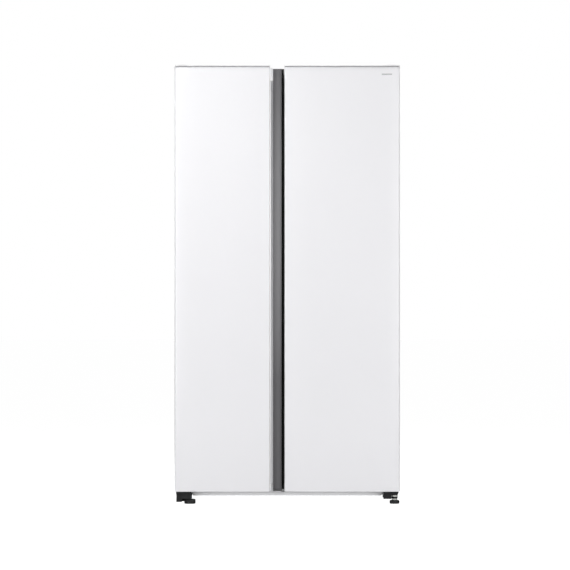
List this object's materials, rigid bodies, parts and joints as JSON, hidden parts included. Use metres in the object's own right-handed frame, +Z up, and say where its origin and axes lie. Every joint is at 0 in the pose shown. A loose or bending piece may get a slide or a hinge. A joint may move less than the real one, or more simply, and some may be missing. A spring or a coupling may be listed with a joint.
{
  "type": "side by side refrigerator",
  "caption": "Free-standing side by side refrigerator and freezer with two hinged doors, recessed vertical grips, glass shelves, drawers and door bins.",
  "frame": {"origin": "on the floor, under the middle of the appliance's width and depth", "axes": "+X to the right seen from the front, +Y into the appliance from its doors to its back, +Z up"},
  "size_m": [0.912, 0.716, 1.78],
  "materials": {
    "white_painted_steel": "gloss white paint on pressed steel",
    "white_plastic": "satin moulded plastic",
    "liner_plastic": "vacuum formed liner sheet",
    "insulation_foam": null,
    "grip_metal": "satin grey grip profile",
    "seal_rubber": "soft magnetic seal",
    "bin_plastic": "clear moulded plastic",
    "shelf_glass": "toughened glass with a moulded trim",
    "galvanised_steel": "bare zinc-coated sheet",
    "zinc_steel": "zinc-plated pressed steel",
    "grey_trim": "satin light grey",
    "black_steel": "black coated steel",
    "black_plastic": "black moulded plastic",
    "compressor_paint": "black enamel",
    "aluminium_fins": "bare fins and tubes"
  },
  "bodies": {
    "cabinet": {"cabinet_shell": "white_painted_steel", "hinge_cover_left": "white_plastic", "hinge_cover_right": "white_plastic", "freezer_liner": "liner_plastic", "fridge_liner": "liner_plastic", "evaporator_cover": "liner_plastic", "fridge_air_duct": "liner_plastic", "cabinet_foam": "insulation_foam", "freezer_shelf_top": "shelf_glass", "freezer_shelf_middle": "shelf_glass", "freezer_shelf_lower": "shelf_glass", "fridge_shelf_top": "shelf_glass", "fridge_shelf_middle": "shelf_glass", "fridge_shelf_lower": "shelf_glass", "crisper_cover": "shelf_glass", "back_panel": "galvanised_steel", "machine_cover": "galvanised_steel", "base_frame": "galvanised_steel", "top_hinge_left": "zinc_steel", "top_hinge_right": "zinc_steel", "front_rail": "grey_trim", "bottom_hinge_left": "black_steel", "bottom_hinge_right": "black_steel", "fan_shroud": "black_plastic", "power_inlet": "black_plastic", "compressor": "compressor_paint", "evaporator": "aluminium_fins", "condenser": "aluminium_fins"},
    "freezer_door": {"freezer_door_skin": "white_painted_steel", "freezer_door_top_cap": "white_plastic", "freezer_door_bottom_cap": "white_plastic", "freezer_door_liner": "liner_plastic", "freezer_door_foam": "insulation_foam", "freezer_door_handle": "grip_metal", "freezer_door_gasket": "seal_rubber", "freezer_door_bin_1": "bin_plastic", "freezer_door_bin_2": "bin_plastic", "freezer_door_bin_3": "bin_plastic", "freezer_door_bin_4": "bin_plastic"},
    "fridge_door": {"fridge_door_skin": "white_painted_steel", "fridge_door_top_cap": "white_plastic", "fridge_door_bottom_cap": "white_plastic", "fridge_door_liner": "liner_plastic", "fridge_door_foam": "insulation_foam", "fridge_door_handle": "grip_metal", "fridge_door_gasket": "seal_rubber", "fridge_door_bin_1": "bin_plastic", "fridge_door_bin_2": "bin_plastic", "fridge_door_bin_3": "bin_plastic", "fridge_door_bin_4": "bin_plastic"},
    "freezer_drawer_upper_body": {"freezer_drawer_upper": "bin_plastic"},
    "freezer_drawer_lower_body": {"freezer_drawer_lower": "bin_plastic"},
    "crisper_drawer_upper_body": {"crisper_drawer_upper": "bin_plastic"},
    "crisper_drawer_lower_body": {"crisper_drawer_lower": "bin_plastic"},
    "levelling_foot_left_body": {"levelling_foot_left": "black_plastic"},
    "levelling_foot_right_body": {"levelling_foot_right": "black_plastic"},
    "rear_roller_left_body": {"rear_roller_left": "black_plastic"},
    "rear_roller_right_body": {"rear_roller_right": "black_plastic"},
    "condenser_fan_body": {"condenser_fan": "black_plastic"},
    "evaporator_fan_body": {"evaporator_fan": "black_plastic"}
  },
  "joints": [
    {"name": "freezer_door_hinge", "type": "hinge", "parent": "cabinet", "child": "freezer_door", "pos_m": [-0.432, -0.302, 0.9], "axis": [0, 0, -1], "range_deg": [0, 125]},
    {"name": "fridge_door_hinge", "type": "hinge", "parent": "cabinet", "child": "fridge_door", "pos_m": [0.432, -0.302, 0.9], "axis": [0, 0, 1], "range_deg": [0, 125]},
    {"name": "freezer_drawer_upper_slide", "type": "slide", "parent": "cabinet", "child": "freezer_drawer_upper_body", "axis": [0, -1, 0], "range_m": [0, 0.09]},
    {"name": "freezer_drawer_lower_slide", "type": "slide", "parent": "cabinet", "child": "freezer_drawer_lower_body", "axis": [0, -1, 0], "range_m": [0, 0.09]},
    {"name": "crisper_drawer_upper_slide", "type": "slide", "parent": "cabinet", "child": "crisper_drawer_upper_body", "axis": [0, -1, 0], "range_m": [0, 0.09]},
    {"name": "crisper_drawer_lower_slide", "type": "slide", "parent": "cabinet", "child": "crisper_drawer_lower_body", "axis": [0, -1, 0], "range_m": [0, 0.09]},
    {"name": "levelling_foot_left_screw", "type": "hinge", "parent": "cabinet", "child": "levelling_foot_left_body", "pos_m": [-0.395, -0.275, 0.02], "axis": [0, 0, 1], "continuous": true},
    {"name": "levelling_foot_right_screw", "type": "hinge", "parent": "cabinet", "child": "levelling_foot_right_body", "pos_m": [0.4356, -0.27, 0.02], "axis": [0, 0, 1], "continuous": true},
    {"name": "rear_roller_left_axle", "type": "hinge", "parent": "cabinet", "child": "rear_roller_left_body", "pos_m": [-0.406, 0.3, 0.022], "axis": [1, 0, 0], "continuous": true},
    {"name": "rear_roller_right_axle", "type": "hinge", "parent": "cabinet", "child": "rear_roller_right_body", "pos_m": [0.406, 0.3, 0.022], "axis": [1, 0, 0], "continuous": true},
    {"name": "condenser_fan_axle", "type": "hinge", "parent": "cabinet", "child": "condenser_fan_body", "pos_m": [-0.082, 0.252, 0.165], "axis": [1, 0, 0], "continuous": true},
    {"name": "evaporator_fan_axle", "type": "hinge", "parent": "cabinet", "child": "evaporator_fan_body", "pos_m": [-0.22, 0.262, 0.96], "axis": [0, 1, 0], "continuous": true}
  ]
}
